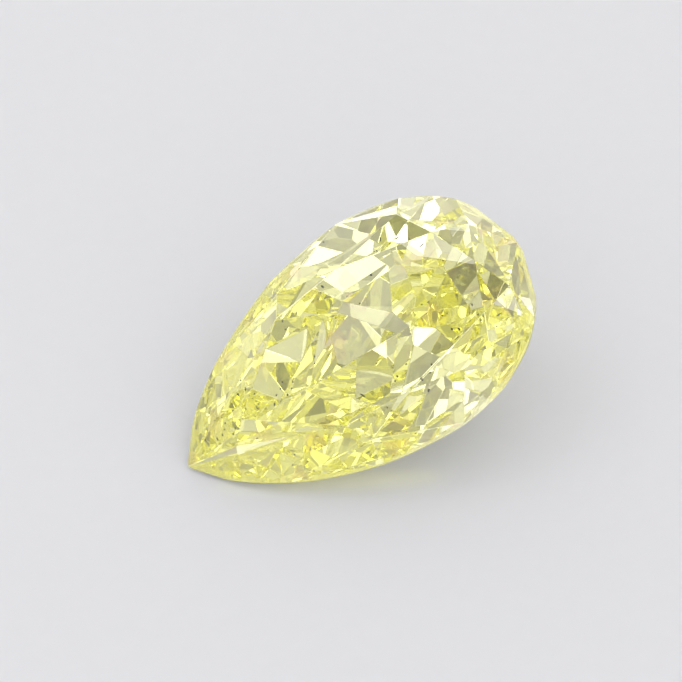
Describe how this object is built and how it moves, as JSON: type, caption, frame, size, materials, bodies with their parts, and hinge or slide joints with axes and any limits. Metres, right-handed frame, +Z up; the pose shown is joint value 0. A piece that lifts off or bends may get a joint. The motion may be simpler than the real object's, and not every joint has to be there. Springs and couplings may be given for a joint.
{
  "type": "pear-cut gemstone",
  "caption": "Loose pear-cut yellow gemstone: flat table, faceted crown, thin girdle and pointed pavilion, lying tilted on one pavilion facet.",
  "frame": {"origin": "centre of the footprint's bounding box, on the surface the stone lies on", "axes": "+Z up from the surface, +X level, from the stone's point towards its round head"},
  "size_m": [0.0082, 0.0054, 0.0042],
  "materials": {
    "gem": "polished flat facets, clear yellow, highly refractive"
  },
  "bodies": {
    "root": {"pear_gemstone": "gem"}
  },
  "joints": []
}
